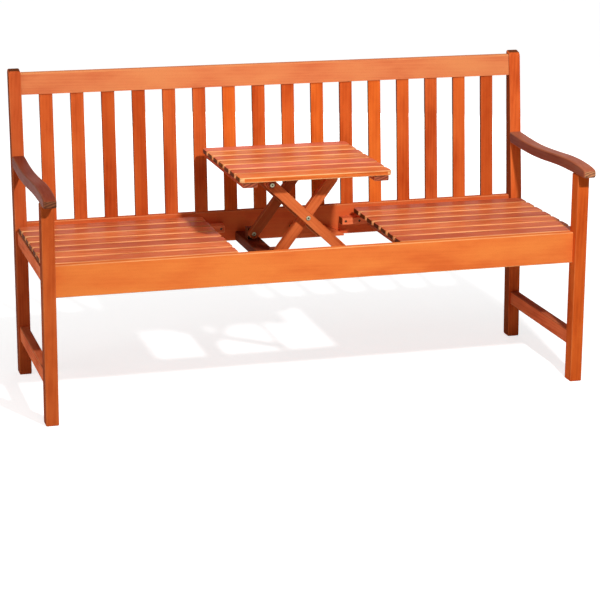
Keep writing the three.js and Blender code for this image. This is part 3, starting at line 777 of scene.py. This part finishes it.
for end, outward in (("front", BACK), ("rear", -BACK)):
    cleat = copied(f"runner_{end}", f"runner_cleat_{end}")
    lay_finishes(cleat, runner_finishes, RIGHT, BACK)
    smooth_arrises(cleat)
    fit_in(cleat, "frame", f"runner_{end}")
    seats = []
    for side in ("left", "right"):
        node = f"ledge_block_{end}_{side}"
        low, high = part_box(node)
        block = planed(f"ledge_{end}_{side}", low, high, RIGHT, BEARER_ARRIS, LEDGE_END, LEDGE_END_STEPS)
        open_face = low.y if end == "rear" else high.y
        for inset in SCREW_INSETS:
            x = low.x + inset if side == "right" else high.x - inset
            mouth = Vector((x, open_face, (low.z + high.z) / 2))
            bore(block, mouth, -outward, SCREW_HOLE, SCREW_DEPTH)
            seats.append(mouth - outward * (SCREW_DEPTH - SCREW_RISE))
        lay_finishes(block, ledge_lit_finishes, RIGHT, BACK)
        smooth_arrises(block)
        fit_in(block, "frame", node)
    set_screws(f"ledge_screws_{end}", small_screw, seats, outward, "frame")


# Scissor legs: flat hardwood bars with round ends, two pairs. The inner legs are hinged to the foot
# board's lugs and the outer legs to the table, and a sleeve bolt joins each pair at its crossing.
SCISSOR_WIDTH = 0.028
SCISSOR_THICKNESS = 0.020
SCISSOR_ARRIS = 0.0018
SCISSOR_ARRIS_STEPS = 2
# The two roundings of an end stop just short of meeting, which leaves each face a width.
ROUND_END = 0.995
ROUND_END_STEPS = 12
# The rear pair is painted darker than the front pair: painted shade under the table.
SCISSOR_LIT_AND_SHADED_TONES = {"front": (0.62, 0.134, 0.036), "rear": (0.38, 0.078, 0.023)}
INNER_REACH = 0.253
PIN_HOLE = 0.0033
HEAD_RECESS = 0.0063
HEAD_RECESS_DEPTH = 0.004
ROD_HOLE = 0.0083
THROUGH = SCISSOR_THICKNESS + DRILL_OVER


def scissor_bar(name, first, last, front):
    """A bar with a round end about each of two places, its front face at the depth given."""
    half = SCISSOR_WIDTH / 2
    reach = last - first
    bar = sawn(name, Vector((-half, 0.0, -half)), Vector((reach.length + half, SCISSOR_THICKNESS, half)))
    round_edges(bar, lambda edge: follows(edge, BACK), half * ROUND_END, ROUND_END_STEPS)
    round_edges(bar, lambda edge: not follows(edge, BACK), SCISSOR_ARRIS, SCISSOR_ARRIS_STEPS)
    bar.rotation_euler = (0.0, -math.atan2(reach.z, reach.x), 0.0)
    bar.location = first + BACK * front
    bpy.ops.object.transform_apply(location=True, rotation=True, scale=True)
    return bar


for number, end in enumerate(("front", "rear")):
    foot = axis_of(f"foot_bolt_{end}")
    crossing = axis_of(f"centre_bolt_{end}")
    inner_tip = foot + (crossing - foot).normalized() * INNER_REACH
    for kind, first, last in (
        ("inner", foot, inner_tip),
        ("outer", axis_of(f"table_pivot_bolt_{end}"), axis_of("sliding_rod")),
    ):
        node = f"{kind}_scissor_leg_{end}"
        front, back = [corner.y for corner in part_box(node)]
        bar = scissor_bar(f"{kind}_leg_{end}", first, last, front)
        for pivot in (crossing, first):
            bore(bar, pivot + BACK * front, BACK, PIN_HOLE, THROUGH)
        if kind == "inner":
            bore(bar, first + BACK * front, BACK, HEAD_RECESS, HEAD_RECESS_DEPTH)
        else:
            bore(bar, first + BACK * back, -BACK, HEAD_RECESS, HEAD_RECESS_DEPTH)
            bore(bar, last + BACK * front, BACK, ROD_HOLE, THROUGH)
        grain = (last - first).normalized()
        bar_seed = 53 + 4 * number + (kind == "outer")
        scissor_finishes = oiled(
            f"{kind}_leg_wood_{end}", SCISSOR_LIT_AND_SHADED_TONES[end], grain, seed=bar_seed, arris_wear_and_highlight=0.12, contrast=1.3,
        )
        lay_finishes(bar, scissor_finishes, grain, BACK)
        smooth_arrises(bar)
        fit_in(bar, f"{kind}_legs", node)


# Sliding rod: a plated steel rod through the outer legs' free ends, turned with chamfered ends,
# which rides on the runners as the table goes up and down.
ROD_TONE = (0.66, 0.63, 0.52)
ROD_ROUGHNESS = 0.34
ROD_CHAMFER = 0.0012
ROD_CHAMFER_STEPS = 2
ROD_SIDES = 40


def turned(centre, radius, length, rim, sides, rim_steps):
    """A cylinder turned about an axis from front to back, both of its rims rounded over."""
    bpy.ops.object.select_all(action="DESELECT")
    bpy.ops.mesh.primitive_cylinder_add(
        vertices=sides, radius=radius, depth=length, location=centre, rotation=(math.radians(90.0), 0.0, 0.0),
    )
    piece = bpy.context.object
    bpy.ops.object.transform_apply(location=True, rotation=True, scale=True)
    round_edges(piece, lambda edge: not follows(edge, BACK), rim, rim_steps)
    return piece


low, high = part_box("sliding_rod")
rod = turned(
    (low + high) / 2, (high.z - low.z) / 2, high.y - low.y, ROD_CHAMFER, ROD_SIDES, ROD_CHAMFER_STEPS,
)
rod.name = "scissor_rod"
rod.data.materials.append(plated_steel("rod_steel", ROD_TONE, ROD_ROUGHNESS))
smooth_arrises(rod)
fit_in(rod, "outer_legs", "sliding_rod", slot="zinc_plated_steel")


# Sleeve bolts: low round heads with a hexagon socket, on plain shanks, of plated steel. The centre
# bolts and the table's bolts end in a flat sleeve nut, and the foot bolts run into the lugs.
BOLT_TONE = (0.42, 0.40, 0.29)
BOLT_ROUGHNESS = 0.38
# The sockets' walls and floor are painted near black: painted shade in the recess.
SOCKET_SHADE_TONE = (0.10, 0.09, 0.06)
SOCKET_ROUGHNESS = 0.5
BOLT_SIDES = 36
RIM_STEPS = 3
HEAD_HEIGHT = 0.003
HEAD_RIM = 0.0013
NUT_HEIGHT = 0.0034
NUT_RIM = 0.0008
SHANK_RADIUS = 0.003
SHANK_RIM = 0.0005
SHANK_OVERLAP = 0.0002
SOCKET_RADIUS = 0.0027
SOCKET_DEPTH = 0.0022
SOCKET_SIDES = 6
# The socket's own faces lie within its radius, with this margin, and deeper than its lip.
SOCKET_MARGIN = 1.02
SOCKET_LIP = 0.0002
bolt_steel = plated_steel("bolt_steel", BOLT_TONE, BOLT_ROUGHNESS)
socket_painted_shade = plated_steel("bolt_socket_shade", SOCKET_SHADE_TONE, SOCKET_ROUGHNESS)


def socketed(mouth, inward, radius, height, rim):
    """A bolt's head or nut, with a hexagon socket whose walls and floor are painted dark as shade."""
    disc = turned(mouth + inward * height / 2, radius, height, rim, BOLT_SIDES, RIM_STEPS)
    disc.data.materials.append(bolt_steel)
    disc.data.materials.append(socket_painted_shade)
    bore(disc, mouth, inward, SOCKET_RADIUS, SOCKET_DEPTH, SOCKET_SIDES)
    for face in disc.data.polygons:
        deep = (face.center - mouth).dot(inward)
        out = (face.center - mouth - inward * deep).length
        if out < SOCKET_RADIUS * SOCKET_MARGIN and deep > SOCKET_LIP:
            face.material_index = 1
    return disc


for end in ("front", "rear"):
    for kind, body, has_nut in (
        ("centre_bolt", "outer_legs", True),
        ("foot_bolt", "frame", False),
        ("table_pivot_bolt", "table", True),
    ):
        node = f"{kind}_{end}"
        low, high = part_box(node)
        axis = axis_of(node)
        radius = (high.x - low.x) / 2
        neck = low.y + HEAD_HEIGHT - SHANK_OVERLAP
        tip = high.y - (NUT_HEIGHT if has_nut else 0.0)
        head = socketed(axis + BACK * low.y, BACK, radius, HEAD_HEIGHT, HEAD_RIM)
        shank = turned(
            axis + BACK * (neck + tip) / 2, SHANK_RADIUS, tip - neck, SHANK_RIM, BOLT_SIDES, RIM_STEPS,
        )
        shank.data.materials.append(bolt_steel)
        parts = [head, shank]
        if has_nut:
            parts.append(socketed(axis + BACK * high.y, -BACK, radius, NUT_HEIGHT, NUT_RIM))
        select_only(*parts)
        bpy.ops.object.join()
        bolt = bpy.context.object
        bolt.name = f"{kind}_{end}_turned"
        smooth_arrises(bolt)
        fit_in(bolt, body, node, slot="zinc_plated_steel")


# Table: seven hardwood slats like the seat's, held by screws that come up through two battens. Two
# small hangers under the slats take the outer legs' pivots, and the top stays level as it rises.
TABLE_ARRIS = 0.0024
FRONT_CORNER = 0.012
TABLE_TONES = ((0.80, 0.165, 0.075), (0.86, 0.222, 0.062), (0.76, 0.150, 0.052))
TABLE_FRONT_TONE = (0.80, 0.166, 0.032)
# Which of the tones each slat behind the front one has.
TABLE_ORDER = (2, 0, 1, 2, 1, 0)
BATTEN_TONE = (0.60, 0.118, 0.044)
BATTEN_END_TONE = (1.30, 0.24, 0.15)
BATTEN_SCREW_DEPTH = 0.0015
SCREW_SIDE_STEP = 0.011
# The slats' arrises and front and back faces are painted pale, partly wear and partly a painted highlight;
# the front slat's arrises are painted almost white as a painted highlight.
table_finishes = [
    oiled(
        f"table_slat_wood_{i + 1}", tone, RIGHT, seed=67 + 2 * i, arris_wear_and_highlight=0.7, edge_pale_and_highlight=0.85, clouded=0.5,
        contrast=1.3, roughness=0.38, gloss=0.025,
    )
    for i, tone in enumerate(TABLE_TONES)
]
front_slat_finishes = oiled(
    "table_front_wood", TABLE_FRONT_TONE, RIGHT, seed=74, arris_wear_and_highlight=0.95, edge_painted_shading=0.84, clouded=0.6,
    contrast=1.2, roughness=0.38, gloss=0.025,
)
finishes_in_order = [front_slat_finishes] + [table_finishes[tone_number] for tone_number in TABLE_ORDER]
for i, finishes in enumerate(finishes_in_order):
    node = f"table_slat_{i + 1}"
    low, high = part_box(node)
    corner = SLAT_CORNER if i else FRONT_CORNER
    slat = rounded_slat(f"table_board_{i + 1}", low, high, corner, TABLE_ARRIS)
    lay_finishes(slat, finishes, RIGHT, BACK)
    smooth_arrises(slat)
    fit_in(slat, "table", node)
batten_finishes = oiled("batten_wood", BATTEN_TONE, BACK, seed=73, arris_wear_and_highlight=0.15)
batten_finishes[END] = end_grain("batten_end", BATTEN_END_TONE, BACK, seed=75)
for side in ("left", "right"):
    node = f"table_batten_{side}"
    low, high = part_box(node)
    batten = planed(f"batten_{side}", low, high, BACK, TABLE_ARRIS)
    seats = []
    for i in range(len(finishes_in_order)):
        front, back = [corner.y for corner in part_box(f"table_slat_{i + 1}")]
        step = SCREW_SIDE_STEP if i % 2 else -SCREW_SIDE_STEP
        mouth = Vector(((low.x + high.x) / 2 + step, (front + back) / 2, low.z))
        bore(batten, mouth, UP, SCREW_HOLE, BATTEN_SCREW_DEPTH)
        seats.append(mouth + UP * (BATTEN_SCREW_DEPTH - SCREW_RISE))
    lay_finishes(batten, batten_finishes, BACK, RIGHT)
    smooth_arrises(batten)
    fit_in(batten, "table", node)
    set_screws(f"batten_screws_{side}", small_screw, seats, -UP, "table")
for end in ("front", "rear"):
    hanger = copied(f"pivot_block_{end}", f"hanger_{end}")
    lay_finishes(hanger, batten_finishes, BACK, RIGHT)
    smooth_arrises(hanger)
    fit_in(hanger, "table", f"pivot_block_{end}")

# The loose screw that the others were copied from is no part of the bench.
bpy.data.objects.remove(small_screw)
low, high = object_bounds()
